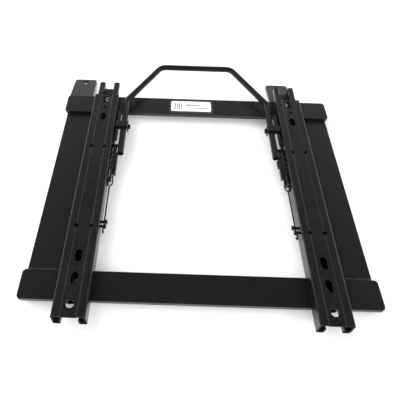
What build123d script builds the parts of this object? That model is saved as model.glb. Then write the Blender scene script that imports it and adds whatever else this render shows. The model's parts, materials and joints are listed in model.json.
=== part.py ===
from build123d import *
import os

# Sliding seat bracket: a welded floor frame that carries two ball-borne slide rails,
# each locked by a toothed lever that one bent tube handle releases.
# X runs across the vehicle, +Y to its front, +Z up, and the floor is at Z = 0.

# Floor frame, in millimetres
bar_length = 456.0
bar_width = 40.0
bar_thickness = 6.0
bar_corner_radius = 5.0
bar_spacing = 340.0
plate_width = 42.0
plate_thickness = 5.0
plate_setback = 4.0
plate_front_margin = 5.0
foot_drop = 10.5
foot_bend_radius = 4.0
foot_flat = 5.0
front_foot_width = 40.0
front_foot_reach = 66.0
front_foot_corner_radius = 5.0
left_strap_gap = 5.0
front_hole_diameter = 11.0
front_hole_edge = 10.0
rear_pad_length = 15.0
rear_pad_setback = 7.0
rear_step_run = 7.0
rear_fork_width = 9.0
rear_fork_depth = 10.0
weld_leg = 3.5
weld_margin = 1.5
weld_bulge = 0.6

# Slide rails
rail_inset = 73.0
rail_sheet = 2.0
rail_bend_radius = 1.6
upper_rail_length = 388.0
upper_rail_overhang = 50.0
upper_rail_half_width = 20.5
upper_rail_height = 22.5
upper_rail_floor_gap = 2.0
upper_web_recess = 1.5
upper_web_half_width = 9.3
upper_web_step = 1.6
curl_width = 9.9
lip_height = 10.0
lower_rail_length = 404.0
lower_rail_overhang = 25.0
wall_clearance = 1.0
lip_clearance = 1.0

# Balls between the rails, and the strips that keep them apart
ball_diameter = 5.0
ball_clearance = 0.05
ball_pitch = 7.0
retainer_thickness = 1.0
retainer_length = 14.0
retainer_clearance = 0.3
ball_hole_clearance = 0.15
front_balls_from_rear_end = 339.5
rear_balls_from_rear_end = 72.5

# Holes in the upper rail, each place measured from its rear end
end_hole_diameter = 10.0
rear_hole_y = 16.0
end_slot_length = 16.0
end_slot_margin = 3.0
small_hole_diameter = 5.0
small_hole_y = 356.5
slot_width = 9.0
slot_length = 17.5
slot_positions = (48.5, 79.5, 335.0)
collar_positions = (123.5, 267.5)
collar_half_spacing = 10.0
collar_bore = 5.6
collar_wall = 0.8
collar_drop = 2.8

# Bolts that hold the lower rails on the bars
bolt_diameter = 8.0
bolt_hole_clearance = 0.2
bolt_head_diameter = 14.0
bolt_head_height = 4.5
bolt_socket_across_flats = 5.0
bolt_socket_depth = 2.5
nut_across_flats = 13.0
nut_height = 6.5
bolt_tail = 2.0
front_bolt_shift = 5.0

# Toothed lock levers
tooth_count = 4
tooth_pitch = 10.0
tooth_width = 4.6
tooth_thickness = 2.0
tooth_side_clearance = 0.4
tooth_engagement = 1.5
tooth_z = 10.8
lock_centre_y = 250.0
lock_window_first = 130.0
lock_window_count = 25
lock_window_bottom = 10.3
lock_window_height = 5.0
rail_window_bottom = 9.8
rail_window_height = 6.6
rail_window_length = 44.0
release_angle = 16.0
lever_length = 68.0
lever_wall_gap = 0.6
lever_sheet = 2.3
lever_low_height = 6.3
lever_arm_top = 11.4
lever_arm_root = 3.0
lever_arm_reach = 10.0
lever_arm_front_reach = 7.5
lever_skirt_depth = 5.5
lever_wide_length = 46.0
lever_step_length = 6.0
clip_length = 12.4
clip_thickness = 1.6
clip_bend_radius = 0.82
clip_front_margin = 1.0
hinge_pin_diameter = 2.4
hinge_pin_clearance = 0.08
hinge_barrel_diameter = 4.2
hinge_wall_gap = 0.4
hinge_z = 4.8
hinge_ear_thickness = 2.0
hinge_ear_gap = 0.5
hinge_ear_foot = 9.0
hinge_ear_top = 9.0
hinge_ear_rise = 15.5
hinge_ear_margin = 2.4
hinge_ear_foot_bottom = 5.2
hinge_ear_corner_radius = 2.0
ear_rivet_diameter = 2.5
ear_rivet_head_diameter = 4.5

# Handle tube and the brackets that carry it
handle_diameter = 10.0
handle_wall = 1.5
handle_z = 14.0
handle_rail_gap = 9.0
handle_front_half_width = 64.5
handle_reach = 436.0
handle_leg_front_y = 336.0
handle_leg_rear_y = 212.0
handle_corner_radius = 16.0
handle_knee_radius = 20.0
pivot_y = 271.0
pivot_pin_diameter = 5.0
pivot_clearance = 0.08
pivot_head_diameter = 8.0
pivot_head_thickness = 3.0
bracket_sheet = 2.0
bracket_bend_radius = 1.5
bracket_saddle_length = 12.0
bracket_top_gap = 1.0
bracket_side_gap = 0.7
bracket_foot_length = 28.0
bracket_rear_foot_length = 18.0
bracket_rear_lip_reach = 6.5
bracket_guard_length = 9.5
bracket_foot_bottom = 8.0
bracket_foot_top = 18.0
bracket_lip_gap = 1.0
spacer_diameter = 9.0
spacer_gap = 0.3
bracket_rivet_shares = (0.3, 0.75)
rivet_diameter = 5.0
rivet_head_diameter = 7.0
rivet_head_height = 2.0
head_rounding = 0.5
release_pin_diameter = 4.0
release_pin_y = 228.0
release_pin_reach = 3.0

# Lock springs and the studs that hold them
spring_wire = 2.0
spring_wall_gap = 3.1
spring_arm_gap = 0.05
spring_z = 12.4
spring_front_overlap = 8.0
spring_rear_tail = 9.0
spring_hook_depth = 4.0
spring_hook_length = 14.0
spring_hook_radius = 2.2
spring_tip_reach = 7.2
stud_diameter = 4.0
stud_head_diameter = 7.0
stud_head_thickness = 2.5
stud_reach = 8.0
stud_wire_gap = 0.05
stud_positions = (128.0, 139.0)

# Label on the front bar
label_length = 76.0
label_width = 34.0
label_thickness = 0.25
label_corner_radius = 4.0
label_offset_x = -8.7

# Heights of the main levels above the floor
plate_top = plate_thickness + foot_drop
deck = plate_top + bar_thickness

# Places along the vehicle, with the whole bracket centred on Y = 0
overall_length = upper_rail_overhang + handle_reach
rear_bar_y = upper_rail_overhang - overall_length / 2
front_bar_y = rear_bar_y + bar_spacing
upper_rail_rear_y = rear_bar_y - upper_rail_overhang
upper_rail_front_y = upper_rail_rear_y + upper_rail_length
lower_rail_rear_y = rear_bar_y - lower_rail_overhang
lower_rail_front_y = lower_rail_rear_y + lower_rail_length
bar_front_edge_y = front_bar_y + bar_width / 2
bar_rear_edge_y = rear_bar_y - bar_width / 2
rail_bolt_ys = (rear_bar_y, front_bar_y + front_bolt_shift)
right_plate_front_y = bar_front_edge_y - plate_front_margin
right_foot_rear_y = front_bar_y - bar_width / 2 + plate_front_margin
left_plate_front_y = front_bar_y - left_strap_gap / 2
left_foot_rear_y = front_bar_y + left_strap_gap / 2

# Places across the vehicle
plate_outer_x = bar_length / 2 - plate_setback
plate_inner_x = plate_outer_x - plate_width
plate_mid_x = plate_outer_x - plate_width / 2
rail_x = bar_length / 2 - rail_inset
right_foot_x = rail_x
left_foot_x = (front_foot_width - bar_length) / 2

# Section of the rails, from each rail's own centre line and above the deck
upper_top = upper_rail_floor_gap + upper_rail_height
shoulder_underside = upper_top - rail_sheet
web_top = upper_top - upper_web_recess
web_underside = web_top - rail_sheet
curl_floor = upper_rail_floor_gap + rail_sheet
lip_face = upper_rail_half_width - curl_width
ball_room = ball_diameter + 2 * ball_clearance
hook_top = shoulder_underside - ball_room
hook_bottom = curl_floor + ball_room
hook_face = upper_rail_half_width - rail_sheet - wall_clearance
lower_wall_face = lip_face - lip_clearance
wall_face = upper_rail_half_width

# Lock lever and hinge, in the same section
hinge_s = wall_face + hinge_wall_gap + hinge_barrel_diameter / 2
lever_face = wall_face + lever_wall_gap
lever_back = lever_face + lever_sheet
tooth_tip = hook_face - tooth_engagement
lever_rear_y = upper_rail_rear_y + lock_centre_y - lever_length / 2
lever_front_y = lever_rear_y + lever_length

# Handle tube axis, from the rail centre line
handle_s = wall_face + handle_rail_gap + handle_diameter / 2
handle_half_width = rail_x - handle_s
ear_rivet_z = (hinge_ear_top + hinge_ear_rise) / 2
bracket_top = handle_z + handle_diameter / 2 + bracket_top_gap + bracket_sheet
bracket_cheek = handle_s + handle_diameter / 2 + bracket_side_gap
spring_s = wall_face + spring_wall_gap + spring_wire / 2
arm_end = wall_face + lever_arm_reach
arm_front_end = wall_face + lever_arm_front_reach
wide_rear_y = lever_rear_y + spring_front_overlap
wide_front_y = lever_rear_y + lever_wide_length


def along_y(section, rear_y, front_y):
    """Extrude a section drawn in X and Z from the rear to the front place."""
    plane = Plane(origin=(0, front_y, 0), x_dir=(1, 0, 0), z_dir=(0, -1, 0))
    return extrude(plane * section, amount=front_y - rear_y)


def block(x0, x1, y0, y1, z0, z1):
    return Pos((x0 + x1) / 2, (y0 + y1) / 2, (z0 + z1) / 2) * Box(x1 - x0, y1 - y0, z1 - z0)


def rod_x(x0, x1, y, z, diameter):
    return Pos((x0 + x1) / 2, y, z) * Rot(0, 90, 0) * Cylinder(diameter / 2, x1 - x0)


def rod_y(y0, y1, x, z, diameter):
    return Pos(x, (y0 + y1) / 2, z) * Rot(90, 0, 0) * Cylinder(diameter / 2, y1 - y0)


def rod_z(z0, z1, x, y, diameter):
    return Pos(x, y, (z0 + z1) / 2) * Cylinder(diameter / 2, z1 - z0)


def headed(x, thickness, y, z, diameter):
    """Round head on the face at x, with its far rim rounded."""
    head = rod_x(x, x + thickness, y, z, diameter)
    rim = head.edges().filter_by(GeomType.CIRCLE).sort_by(Axis.X)[-1]
    return fillet(rim, head_rounding * thickness)


def rail_frame(part):
    """Move a piece drawn about its own rail, with X inboard, to the left rail."""
    return Pos(-rail_x, 0, deck) * part


# Floor frame

def cross_bar(centre_y, bolt_y):
    outline = RectangleRounded(bar_length, bar_width, bar_corner_radius)
    bar = Pos(0, centre_y, plate_top) * extrude(outline, amount=bar_thickness)
    for side in (-1, 1):
        bolt_hole = bolt_diameter + 2 * bolt_hole_clearance
        bar -= rod_z(plate_top, deck, side * rail_x, bolt_y, bolt_hole)
    return bar


def strap(path_points, radii, x0, x1):
    """Strap bent along a centre line in Y and Z, with its width from x0 to x1."""
    section = trace(FilletPolyline(*path_points, radius=radii), plate_thickness)
    plane = Plane(origin=(x0, 0, 0), x_dir=(0, 1, 0), z_dir=(1, 0, 0))
    return extrude(plane * section, amount=x1 - x0)


def round_tip(part):
    """Round the two corners at the front tip of a foot, the foremost steep edges."""
    steep = part.edges().filter_by(Axis.Z, tolerance=20)
    return fillet(steep.sort_by(Axis.Y)[-2:], front_foot_corner_radius)


foot_tip_y = bar_front_edge_y + front_foot_reach
plate_mid_z = plate_top - plate_thickness / 2
pad_mid_z = plate_thickness / 2
foot_bolt_y = foot_tip_y - front_hole_edge


def foot_path():
    """Centre line of a front foot, from under the front bar down to its tip."""
    return [(bar_front_edge_y + foot_flat, plate_mid_z), (foot_tip_y, pad_mid_z)]


def foot_hole(x):
    """Hole for a floor bolt, square to the floor."""
    return rod_z(-1, plate_top, x, foot_bolt_y, front_hole_diameter)


def rear_pad_path():
    """Centre line from the pad on the floor up to the flat of a side plate."""
    pad_rear = bar_rear_edge_y + rear_pad_setback
    pad_front = pad_rear + rear_pad_length
    return [(pad_rear, pad_mid_z), (pad_front, pad_mid_z), (pad_front + rear_step_run, plate_mid_z)]


def rear_fork(x):
    """Open slot in the rear pad, which slides round a bolt that stands in the floor."""
    pad_rear = bar_rear_edge_y + rear_pad_setback
    slot_end = pad_rear + rear_fork_depth - rear_fork_width / 2
    half = rear_fork_width / 2
    mouth = block(x - half, x + half, pad_rear - 1, slot_end, -1, plate_thickness + 1)
    return mouth + rod_z(-1, plate_thickness + 1, x, slot_end, rear_fork_width)


def side_plate(front_y):
    """Long strap between the bars: its rear steps down to a forked pad on the floor."""
    path = rear_pad_path() + [(front_y, plate_mid_z)]
    part = strap(path, foot_bend_radius, -plate_outer_x, -plate_inner_x)
    return part - rear_fork(-plate_mid_x)


def front_foot(centre_x, rear_y):
    """Short strap from under the front bar down to the floor, where a bolt holds it."""
    x0, x1 = centre_x - front_foot_width / 2, centre_x + front_foot_width / 2
    part = strap([(rear_y, plate_mid_z)] + foot_path(), 2 * foot_bend_radius, x0, x1)
    part -= foot_hole(centre_x)
    if x0 < rail_x < x1:
        part -= rod_z(0, plate_top, rail_x, rail_bolt_ys[-1], bolt_diameter + 2 * bolt_hole_clearance)
    return round_tip(part)


def weld_bead(x0, x1, y, up):
    """Fillet weld in front of an edge at y, above or below the plates' top surface."""
    root, toe = (y, plate_top), (y + weld_leg, plate_top)
    rise = up * weld_leg
    crest = (y + weld_bulge * weld_leg, plate_top + weld_bulge * rise)
    end = (y, plate_top + rise)
    outline = make_face(Polyline(toe, root, end) + ThreePointArc(end, crest, toe))
    plane = Plane(origin=(x0, 0, 0), x_dir=(0, 1, 0), z_dir=(1, 0, 0))
    return extrude(plane * outline, amount=x1 - x0)


def weld_beads():
    """Beads along the straps' widths: over them at the bars' edges, and under the front bar."""
    inner, outer = plate_inner_x + weld_margin, plate_outer_x - weld_margin
    rear_edge = rear_bar_y + bar_width / 2
    beads = [
        weld_bead(-outer, -inner, rear_edge, 1),
        weld_bead(inner, outer, rear_edge, 1),
        weld_bead(-outer, -inner, left_plate_front_y, -1),
        weld_bead(inner, outer, right_plate_front_y, -1),
    ]
    half = front_foot_width / 2 - weld_margin
    edge_end = bar_length / 2 - bar_corner_radius
    for centre_x in (left_foot_x, right_foot_x):
        beads.append(weld_bead(max(centre_x - half, -edge_end), centre_x + half, bar_front_edge_y, 1))
    return beads


def hex_nut(x, y, top_z):
    outline = RegularPolygon(nut_across_flats / 2, 6, major_radius=False)
    nut = Pos(x, y, top_z - nut_height) * extrude(outline, amount=nut_height)
    return nut - rod_z(top_z - nut_height, top_z, x, y, bolt_diameter)


def bolt_places():
    """Each rail bolt's place, with the height of the surface that its nut meets."""
    places = []
    for y in rail_bolt_ys:
        for side in (-1, 1):
            through_foot = side > 0 and y > front_bar_y
            nut_top = plate_top - plate_thickness if through_foot else plate_top
            places.append((side * rail_x, y, nut_top))
    return places


def rail_bolt(x, y, nut_top):
    seat = deck + rail_sheet
    bolt = rod_z(nut_top - nut_height - bolt_tail, seat, x, y, bolt_diameter)
    head = rod_z(seat, seat + bolt_head_height, x, y, bolt_head_diameter)
    rim = head.edges().filter_by(GeomType.CIRCLE).sort_by(Axis.Z)[-1]
    head = fillet(rim, bolt_head_height / 2)
    socket = RegularPolygon(bolt_socket_across_flats / 2, 6, major_radius=False)
    recess = Pos(x, y, seat + bolt_head_height - bolt_socket_depth) * extrude(socket, amount=bolt_head_height)
    return bolt + head - recess


def label():
    outline = RectangleRounded(label_length, label_width, label_corner_radius)
    return Pos(label_offset_x, front_bar_y, deck) * extrude(outline, amount=label_thickness)


# Slide rails

def mirrored_path(half_path):
    """A symmetrical centre line from the corners of its right half."""
    return [(-s, z) for s, z in reversed(half_path)] + half_path


def upper_rail_section():
    """Wide cover rail: recessed web, two shoulders, side walls, and curls that turn in and up."""
    half = rail_sheet / 2
    outer = upper_rail_half_width - half
    lip = lip_face + half
    shoulder_z = upper_top - half
    path = mirrored_path([
        (upper_web_half_width, web_top - half),
        (upper_web_half_width + upper_web_step, shoulder_z),
        (outer, shoulder_z),
        (outer, upper_rail_floor_gap + half),
        (lip, upper_rail_floor_gap + half),
        (lip, upper_rail_floor_gap + lip_height),
    ])
    return trace(FilletPolyline(*path, radius=rail_bend_radius), rail_sheet)


def lower_rail_section():
    """Inner rail: web on the bars, two walls, and hooks that turn out and down."""
    half = rail_sheet / 2
    wall = lower_wall_face - half
    hook = hook_face - half
    path = mirrored_path([
        (wall, half),
        (wall, hook_top - half),
        (hook, hook_top - half),
        (hook, hook_bottom),
    ])
    return trace(FilletPolyline(*path, radius=rail_bend_radius), rail_sheet)


def slot(y, width, length, z0, z1):
    outline = Rot(0, 0, 90) * SlotOverall(length, width)
    return Pos(0, y, z0) * extrude(outline, amount=z1 - z0)


def tooth_places():
    """Centre of each lock tooth along the vehicle, with the slide at rest."""
    centre = upper_rail_rear_y + lock_centre_y
    first = centre - tooth_pitch * (tooth_count - 1) / 2
    return [first + tooth_pitch * index for index in range(tooth_count)]


def upper_rail():
    part = along_y(upper_rail_section(), upper_rail_rear_y, upper_rail_front_y)
    low, high = web_underside - 1, web_top + 1
    for y, diameter in ((rear_hole_y, end_hole_diameter), (small_hole_y, small_hole_diameter)):
        part -= rod_z(low, high, 0, upper_rail_rear_y + y, diameter)
    for y in slot_positions:
        part -= slot(upper_rail_rear_y + y, slot_width, slot_length, low, high)
    end_slot_y = upper_rail_front_y - end_slot_margin - end_slot_length / 2
    part -= slot(end_slot_y, end_hole_diameter, end_slot_length, low, high)
    # Drawn collars under the web, which the ball retainers stop against
    for y in collar_positions:
        for side in (-1, 1):
            place = (side * collar_half_spacing, upper_rail_rear_y + y)
            collar_bottom = web_underside - collar_drop
            part += rod_z(collar_bottom, web_underside + 1, *place, collar_bore + 2 * collar_wall)
            part -= rod_z(collar_bottom, upper_top + 1, *place, collar_bore)
    # Window for the lock teeth, and the holes of what is riveted to the inner wall
    centre = upper_rail_rear_y + lock_centre_y
    inside = wall_face - rail_sheet
    part -= block(inside - 1, wall_face + 1, centre - rail_window_length / 2, centre + rail_window_length / 2,
                  rail_window_bottom, rail_window_bottom + rail_window_height)
    for y, z, diameter in wall_fasteners():
        part -= rod_x(inside - 1, wall_face + 1, y, z, diameter)
    return part


def lower_rail():
    part = along_y(lower_rail_section(), lower_rail_rear_y, lower_rail_front_y)
    for y in rail_bolt_ys:
        part -= rod_z(-1, rail_sheet + 1, 0, y, bolt_diameter + 2 * bolt_hole_clearance)
    # Row of windows in the inner hook, one for each place where the seat can lock
    window_length = tooth_width + 2 * tooth_side_clearance
    for index in range(lock_window_count):
        y = lower_rail_rear_y + lock_window_first + tooth_pitch * index
        part -= block(hook_face - rail_sheet - 1, hook_face + 1, y - window_length / 2, y + window_length / 2,
                      lock_window_bottom, lock_window_bottom + lock_window_height)
    return part


def ball_rows():
    """Centre of each ball row in the section, as distance from the axis and height."""
    outer = upper_rail_half_width - rail_sheet - 2 * ball_clearance - ball_diameter / 2
    lower = (lip_face + upper_rail_half_width) / 2
    top_z = hook_top + ball_room / 2
    bottom_z = curl_floor + ball_room / 2
    return [(outer, top_z), (lower, bottom_z)]


def ball_groups():
    return [upper_rail_rear_y + rear_balls_from_rear_end, upper_rail_rear_y + front_balls_from_rear_end]


def ball_places():
    places = []
    for s, z in ball_rows():
        for side in (-1, 1):
            for centre in ball_groups():
                for step in (-0.5, 0.5):
                    places.append((side * s, centre + step * ball_pitch, z))
    return places


def balls():
    return [Pos(*place) * Sphere(ball_diameter / 2) for place in ball_places()]


def ball_retainers():
    """Flat strips with a hole for each ball, one for each row and group."""
    hole = ball_diameter + 2 * ball_hole_clearance
    strips = []
    inner_edges = (lower_wall_face - retainer_clearance, lip_face + rail_sheet + retainer_clearance)
    outer_edge = upper_rail_half_width - rail_sheet - retainer_clearance
    for (s, z), inner_edge in zip(ball_rows(), inner_edges):
        for side in (-1, 1):
            for centre in ball_groups():
                x0, x1 = sorted((side * inner_edge, side * outer_edge))
                strip = block(x0, x1, centre - retainer_length / 2, centre + retainer_length / 2,
                              z - retainer_thickness / 2, z + retainer_thickness / 2)
                for step in (-0.5, 0.5):
                    strip -= rod_z(z - 1, z + 1, side * s, centre + step * ball_pitch, hole)
                strips.append(strip)
    return strips


# Locks

def lever_blade():
    """Upright blade with its teeth, drawn where it locks and then swung to where it is released."""
    rear, front = lever_rear_y, lever_front_y
    teeth_front = tooth_places()[-1] + tooth_width / 2 + tooth_side_clearance
    tooth_top = tooth_z + tooth_thickness
    blade = block(lever_face, lever_back, rear, teeth_front, hinge_z, tooth_top)
    blade += block(lever_face, lever_back, teeth_front, front, hinge_z, hinge_z + lever_low_height)
    for y in tooth_places():
        blade += block(tooth_tip, lever_back, y - tooth_width / 2, y + tooth_width / 2, tooth_z, tooth_top)
    return blade.rotate(Axis((hinge_s, 0, hinge_z), (0, 1, 0)), release_angle)


def lock_lever():
    """Bent lever at its released place: hinge barrel, toothed blade, and an arm with a skirt."""
    rear, front = lever_rear_y, lever_front_y
    arm_root = wall_face + lever_arm_root
    arm_outline = make_face(Polyline(
        (arm_root, wide_rear_y),
        (arm_end, wide_rear_y),
        (arm_end, wide_front_y),
        (arm_front_end, wide_front_y + lever_step_length),
        (arm_front_end, front),
        (arm_root, front),
        close=True,
    ))
    arm = Pos(0, 0, lever_arm_top - lever_sheet) * extrude(arm_outline, amount=lever_sheet)
    skirt = block(arm_end - lever_sheet, arm_end, wide_rear_y, wide_front_y,
                  lever_arm_top - lever_skirt_depth, lever_arm_top)
    folded = arm + skirt
    fold = folded.edges().filter_by(Axis.Y).filter_by_position(Axis.X, arm_end - 0.1, arm_end + 0.1)
    folded = fillet(fold.sort_by(Axis.Z)[-1], lever_sheet / 2)
    part = rod_y(rear, front, hinge_s, hinge_z, hinge_barrel_diameter) + lever_blade() + folded
    return part - rod_y(rear - 1, front + 1, hinge_s, hinge_z, hinge_pin_diameter + 2 * hinge_pin_clearance)


def lever_clip():
    """Clip of U section, pushed up over the lower edge of the lever's skirt."""
    inner, outer = arm_end - lever_sheet, arm_end
    bottom = lever_arm_top - lever_skirt_depth
    top = lever_arm_top - lever_sheet - clip_thickness
    half = clip_thickness / 2
    path = FilletPolyline(
        (inner - half, top),
        (inner - half, bottom - half),
        (outer + half, bottom - half),
        (outer + half, lever_arm_top - clip_thickness),
        radius=clip_bend_radius,
    )
    front = wide_front_y - clip_front_margin
    return along_y(trace(path, clip_thickness), front - clip_length, front)


def hinge_ear_spans():
    """Rear and front place of each ear that holds the lever's hinge pin, and of its foot."""
    rear_ear = (lever_rear_y - hinge_ear_gap - hinge_ear_thickness, lever_rear_y - hinge_ear_gap)
    front_ear = (lever_front_y + hinge_ear_gap, lever_front_y + hinge_ear_gap + hinge_ear_thickness)
    rear_foot = (rear_ear[0] - hinge_ear_foot, rear_ear[0])
    front_foot_span = (front_ear[1], front_ear[1] + hinge_ear_foot)
    return [(rear_ear, rear_foot), (front_ear, front_foot_span)]


def hinge_ears():
    ears = []
    for (ear_rear, ear_front), (foot_rear, foot_front) in hinge_ear_spans():
        bottom = hinge_z - hinge_barrel_diameter / 2
        tip = hinge_s + hinge_ear_margin
        ear = block(wall_face, tip, ear_rear, ear_front, bottom, hinge_ear_top)
        ear = fillet(ear.edges().filter_by(Axis.Y).sort_by(Axis.X)[-2:], hinge_ear_corner_radius)
        foot = block(wall_face, wall_face + hinge_ear_thickness, foot_rear, foot_front,
                     hinge_ear_foot_bottom, hinge_ear_rise)
        ear += foot
        ear -= rod_y(ear_rear - 1, ear_front + 1, hinge_s, hinge_z, hinge_pin_diameter)
        ear -= rod_x(wall_face - 1, tip, (foot_rear + foot_front) / 2, ear_rivet_z, ear_rivet_diameter)
        ears.append(ear)
    return ears


def hinge_pin():
    """Pin whose ends are flush with the outer faces of both ears."""
    (rear_ear, _), (front_ear, _) = hinge_ear_spans()
    return rod_y(rear_ear[0], front_ear[1], hinge_s, hinge_z, hinge_pin_diameter)


def wall_rivet(y, z, sheet, diameter, head_diameter):
    """Rivet whose shank fills the rail wall and the sheet on it, with a domed head."""
    outside = wall_face + sheet
    shank = rod_x(wall_face - rail_sheet, outside, y, z, diameter)
    return shank + headed(outside, rivet_head_height, y, z, head_diameter)


def bracket_rivet_places():
    z = (bracket_foot_bottom + bracket_foot_top - bracket_sheet) / 2
    start = rear_bar_y + pivot_y + bracket_saddle_length / 2
    return [(start + bracket_foot_length * share, z) for share in bracket_rivet_shares]


def ear_rivet_places():
    return [((foot[0] + foot[1]) / 2, ear_rivet_z) for ear, foot in hinge_ear_spans()]


def stud_places():
    """Spring studs: the wire passes over the front one and under the rear one."""
    offset = (spring_wire + stud_diameter) / 2 + stud_wire_gap
    rear, front = stud_positions
    return [(upper_rail_rear_y + rear, spring_z + offset), (upper_rail_rear_y + front, spring_z - offset)]


def wall_fasteners():
    """Every hole that a rivet or stud needs in the rail's inner wall."""
    holes = [(y, z, rivet_diameter) for y, z in bracket_rivet_places()]
    holes += [(y, z, ear_rivet_diameter) for y, z in ear_rivet_places()]
    holes += [(y, z, stud_diameter) for y, z in stud_places()]
    return holes


def lock_rivets():
    rivets = [wall_rivet(y, z, bracket_sheet, rivet_diameter, rivet_head_diameter)
              for y, z in bracket_rivet_places()]
    rivets += [wall_rivet(y, z, hinge_ear_thickness, ear_rivet_diameter, ear_rivet_head_diameter)
               for y, z in ear_rivet_places()]
    return rivets


def spring_studs():
    under_head = wall_face + stud_reach - stud_head_thickness
    return [rod_x(wall_face - rail_sheet, under_head, y, z, stud_diameter)
            + headed(under_head, stud_head_thickness, y, z, stud_head_diameter)
            for y, z in stud_places()]


def lock_spring():
    """Wire spring held between the studs, whose front end lies on the arm beside the blade."""
    rear = stud_places()[0][0] - spring_rear_tail
    tip_s = wall_face + spring_tip_reach
    tip_z = lever_arm_top + spring_arm_gap + spring_wire / 2
    hook_front = lever_rear_y - hinge_ear_thickness - 2 * hinge_ear_gap
    hook_rear = hook_front - spring_hook_length
    out = spring_s + spring_hook_depth
    path = FilletPolyline(
        (spring_s, rear, spring_z),
        (spring_s, hook_rear, spring_z),
        (out, hook_rear + spring_hook_depth, spring_z),
        (out, hook_front - spring_hook_depth, spring_z),
        (tip_s, hook_front, tip_z),
        (tip_s, wide_rear_y + spring_front_overlap, tip_z),
        radius=spring_hook_radius,
    )
    plane = Plane(origin=(spring_s, rear, spring_z), x_dir=(1, 0, 0), z_dir=(0, 1, 0))
    return sweep(plane * Circle(spring_wire / 2), path=path)


# Handle

def handle_bracket():
    """Saddle over the tube's leg, with feet on the rail's inner wall, the front one riveted."""
    centre = rear_bar_y + pivot_y
    rear, front = centre - bracket_saddle_length / 2, centre + bracket_saddle_length / 2
    cheek_out = bracket_cheek + bracket_sheet
    half = bracket_sheet / 2
    path = FilletPolyline(
        (wall_face + half, bracket_foot_bottom),
        (wall_face + half, bracket_top - half),
        (bracket_cheek + half, bracket_top - half),
        (bracket_cheek + half, bracket_foot_bottom),
        radius=bracket_bend_radius,
    )
    saddle = along_y(trace(path, bracket_sheet), rear, front)
    part = saddle
    feet = (
        (handle_s - handle_diameter / 2 - bracket_lip_gap, front, front + bracket_foot_length),
        (wall_face + bracket_rear_lip_reach, rear - bracket_rear_foot_length, rear),
    )
    for lip_end, foot_rear, foot_front in feet:
        foot_line = FilletPolyline(
            (wall_face + half, bracket_foot_bottom),
            (wall_face + half, bracket_foot_top - half),
            (lip_end, bracket_foot_top - half),
            radius=bracket_bend_radius,
        )
        part += along_y(trace(foot_line, bracket_sheet), foot_rear, foot_front)
    # Guard over the front hinge ear, in line with the rear foot's lip
    guard_front = rear - bracket_rear_foot_length
    guard_rear = guard_front - bracket_guard_length
    part += block(wall_face + bracket_sheet, wall_face + bracket_rear_lip_reach, guard_rear, guard_front,
                  bracket_foot_top - bracket_sheet, bracket_foot_top)
    part -= rod_x(wall_face - 1, cheek_out + 1, centre, handle_z, pivot_pin_diameter)
    for y, z in bracket_rivet_places():
        part -= rod_x(wall_face - 1, wall_face + bracket_sheet + 1, y, z, rivet_diameter)
    return part


def pivot_pin():
    centre = rear_bar_y + pivot_y
    cheek_out = bracket_cheek + bracket_sheet
    pin = rod_x(wall_face, cheek_out, centre, handle_z, pivot_pin_diameter)
    return pin + headed(cheek_out, pivot_head_thickness, centre, handle_z, pivot_head_diameter)


def pivot_spacer():
    """Sleeve on the pivot pin between the bracket's foot and the tube."""
    centre = rear_bar_y + pivot_y
    inner = wall_face + bracket_sheet
    outer = handle_s - handle_diameter / 2 - spacer_gap
    sleeve = rod_x(inner, outer, centre, handle_z, spacer_diameter)
    return sleeve - rod_x(inner - 1, outer + 1, centre, handle_z, pivot_pin_diameter)


def handle_bar():
    """One bent tube: two legs that run back along the rails, and a front grip bar."""
    rear = rear_bar_y + handle_leg_rear_y
    knee = rear_bar_y + handle_leg_front_y
    front = rear_bar_y + handle_reach - handle_diameter / 2
    z = deck + handle_z
    points = [
        (-handle_half_width, rear, z),
        (-handle_half_width, knee, z),
        (-handle_front_half_width, front, z),
        (handle_front_half_width, front, z),
        (handle_half_width, knee, z),
        (handle_half_width, rear, z),
    ]
    corners = [handle_knee_radius, handle_corner_radius, handle_corner_radius, handle_knee_radius]
    path = FilletPolyline(*points, radius=corners)
    plane = Plane(origin=points[0], x_dir=(1, 0, 0), z_dir=(0, 1, 0))
    tube = sweep(plane * Circle(handle_diameter / 2), path=path)
    tube -= sweep(plane * Circle(handle_diameter / 2 - handle_wall), path=path)
    pin_hole = pivot_pin_diameter + 2 * pivot_clearance
    reach = handle_diameter
    for side in (-1, 1):
        x = side * handle_half_width
        tube -= rod_x(x - reach, x + reach, rear_bar_y + pivot_y, z, pin_hole)
        tube -= rod_x(x - reach, x + reach, rear_bar_y + release_pin_y, z, release_pin_diameter)
    return tube


def release_pins():
    """Pins through the legs that press the arms of the lock levers."""
    pins = []
    for side in (-1, 1):
        inner = side * (handle_half_width - handle_diameter / 2)
        outer = side * (handle_half_width + handle_diameter / 2 + release_pin_reach)
        x0, x1 = sorted((inner, outer))
        pins.append(rod_x(x0, x1, rear_bar_y + release_pin_y, deck + handle_z, release_pin_diameter))
    return pins


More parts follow.
